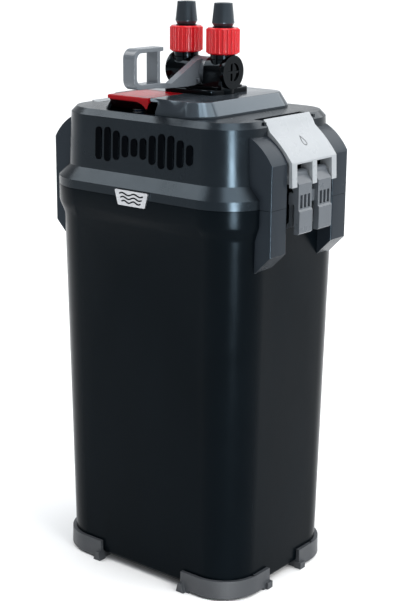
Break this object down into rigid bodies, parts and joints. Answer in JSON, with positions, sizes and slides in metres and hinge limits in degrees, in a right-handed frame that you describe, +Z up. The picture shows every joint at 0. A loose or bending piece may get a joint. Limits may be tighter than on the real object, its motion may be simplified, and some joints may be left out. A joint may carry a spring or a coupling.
{
  "type": "canister filter",
  "caption": "Upright aquarium canister filter with a clamped pump head, lift-out media baskets, a primer pedal and a twin-port hose valve with a looped lever.",
  "frame": {"origin": "centre of the footprint, on the floor under the feet", "axes": "+Z up, -Y towards the front face with the badge, +X towards the right-hand clamp"},
  "size_m": [0.2434, 0.1744, 0.487],
  "materials": {
    "canister_black": "satin",
    "lid_charcoal": "fine satin",
    "cover_grey": "satin gloss",
    "clamp_silver": "silver satin",
    "lever_grey": "satin",
    "foot_grey": "matt",
    "signal_red": "satin",
    "valve_black": "gloss",
    "handle_grey": "satin",
    "barb_black": "satin",
    "badge_silver": "brushed",
    "inlay_gloss": "high gloss",
    "basket_grey": "satin",
    "cage_black": "matt",
    "foam_black": "open-cell",
    "floss_white": "fibrous",
    "ceramic_cream": "chalky",
    "carbon_mesh": "mesh",
    "seal_rubber": "matt",
    "steel_pin": "ground",
    "stator_steel": "laminated",
    "coil_copper": "enamelled",
    "magnet_dark": "smooth",
    "impeller_blue": "satin",
    "pump_grey": "satin"
  },
  "bodies": {
    "canister": {"canister_shell": "canister_black", "canister_rails": "canister_black", "foot_front_left": "foot_grey", "foot_front_right": "foot_grey", "foot_rear_left": "foot_grey", "foot_rear_right": "foot_grey", "badge_plate": "badge_silver"},
    "foam_frame": {"foam_cage": "cage_black", "foam_screens": "foam_black"},
    "basket_stack": {"media_basket_1": "basket_grey", "media_basket_2": "basket_grey", "media_basket_3": "basket_grey", "media_basket_4": "basket_grey", "coarse_pad": "foam_black", "ceramic_media": "ceramic_cream", "carbon_bags": "carbon_mesh", "polish_pad": "floss_white", "basket_cover": "basket_grey", "lift_handle": "signal_red"},
    "lid": {"lid_shell": "lid_charcoal", "lid_rails": "lid_charcoal", "lid_base_plate": "lid_charcoal", "lid_gasket": "seal_rubber", "lid_screws": "steel_pin", "top_cover": "cover_grey", "cord_gland": "seal_rubber", "front_inlay": "inlay_gloss", "volute_housing": "pump_grey", "volute_cover": "pump_grey", "motor_can": "pump_grey", "stator_core": "stator_steel", "stator_coils": "coil_copper", "shaft_bushes": "pump_grey", "outlet_duct": "pump_grey", "inlet_duct": "pump_grey", "primer_cylinder": "pump_grey", "primer_pin": "steel_pin", "clamp_hinge_pins": "steel_pin"},
    "impeller": {"impeller": "impeller_blue", "rotor_magnet": "magnet_dark", "impeller_shaft": "steel_pin"},
    "primer_pedal": {"primer_pedal": "signal_red"},
    "primer_plunger": {"primer_plunger": "impeller_blue", "piston_ring": "seal_rubber", "primer_spring": "steel_pin"},
    "clamp_right": {"clamp_plate_right": "clamp_silver", "clamp_lever_pin_right": "steel_pin"},
    "clamp_left": {"clamp_plate_left": "clamp_silver", "clamp_lever_pin_left": "steel_pin"},
    "clamp_lever_right": {"clamp_lever_right": "lever_grey"},
    "clamp_lever_left": {"clamp_lever_left": "lever_grey"},
    "valve": {"valve_base": "valve_black", "valve_body": "valve_black", "valve_caps": "valve_black", "hose_barbs": "barb_black", "port_seals": "seal_rubber"},
    "valve_lever": {"valve_lever": "handle_grey", "valve_spindle": "valve_black"},
    "lock_nut_left": {"lock_nut_left": "signal_red"},
    "lock_nut_right": {"lock_nut_right": "signal_red"}
  },
  "joints": [
    {"name": "lid_lift", "type": "slide", "parent": "canister", "child": "lid", "axis": [0, 0, 1], "range_m": [0, 0.36]},
    {"name": "basket_lift", "type": "slide", "parent": "canister", "child": "basket_stack", "axis": [0, 0, 1], "range_m": [0, 0.3]},
    {"name": "foam_lift", "type": "slide", "parent": "canister", "child": "foam_frame", "axis": [0, 0, 1], "range_m": [0, 0.255]},
    {"name": "impeller_spin", "type": "hinge", "parent": "lid", "child": "impeller", "pos_m": [0.06, -0.008, 0.34], "axis": [0, 0, 1], "continuous": true},
    {"name": "primer_press", "type": "hinge", "parent": "lid", "child": "primer_pedal", "pos_m": [-0.0245, -0.0185, 0.4093], "axis": [1, 0, 0], "range_deg": [0, 9], "stiffness_Nm_per_rad": 0.4, "springref_deg": -2.86},
    {"name": "primer_stroke", "type": "slide", "parent": "lid", "child": "primer_plunger", "axis": [0, 0, -1], "range_m": [0, 0.0052], "deforming": ["primer_spring"]},
    {"name": "clamp_right_swing", "type": "hinge", "parent": "lid", "child": "clamp_right", "pos_m": [0.0915, 0, 0.388], "axis": [0, -1, 0], "range_deg": [0, 35]},
    {"name": "clamp_left_swing", "type": "hinge", "parent": "lid", "child": "clamp_left", "pos_m": [-0.0915, 0, 0.388], "axis": [0, 1, 0], "range_deg": [0, 35]},
    {"name": "clamp_lever_right_pull", "type": "hinge", "parent": "clamp_right", "child": "clamp_lever_right", "pos_m": [0.112, 0, 0.359], "axis": [0, -1, 0], "range_deg": [0, 95]},
    {"name": "clamp_lever_left_pull", "type": "hinge", "parent": "clamp_left", "child": "clamp_lever_left", "pos_m": [-0.112, 0, 0.359], "axis": [0, 1, 0], "range_deg": [0, 95]},
    {"name": "valve_lift", "type": "slide", "parent": "lid", "child": "valve", "axis": [0, 0, 1], "range_m": [0, 0.04]},
    {"name": "valve_lever_turn", "type": "hinge", "parent": "valve", "child": "valve_lever", "pos_m": [0, 0.008, 0.4314], "axis": [-1, 0, 0], "range_deg": [0, 90]},
    {"name": "lock_nut_left_turn", "type": "hinge", "parent": "valve", "child": "lock_nut_left", "pos_m": [-0.0195, 0.008, 0.456], "axis": [0, 0, 1], "range_deg": [0, 360]},
    {"name": "lock_nut_right_turn", "type": "hinge", "parent": "valve", "child": "lock_nut_right", "pos_m": [0.0195, 0.008, 0.456], "axis": [0, 0, 1], "range_deg": [0, 360]}
  ],
  "couplings": [
    {"joint": "basket_lift", "follows": "lid_lift", "ratio": 0.83},
    {"joint": "foam_lift", "follows": "lid_lift", "ratio": 0.7},
    {"joint": "primer_stroke", "follows": "primer_press", "m_per_rad": 0.0325}
  ]
}
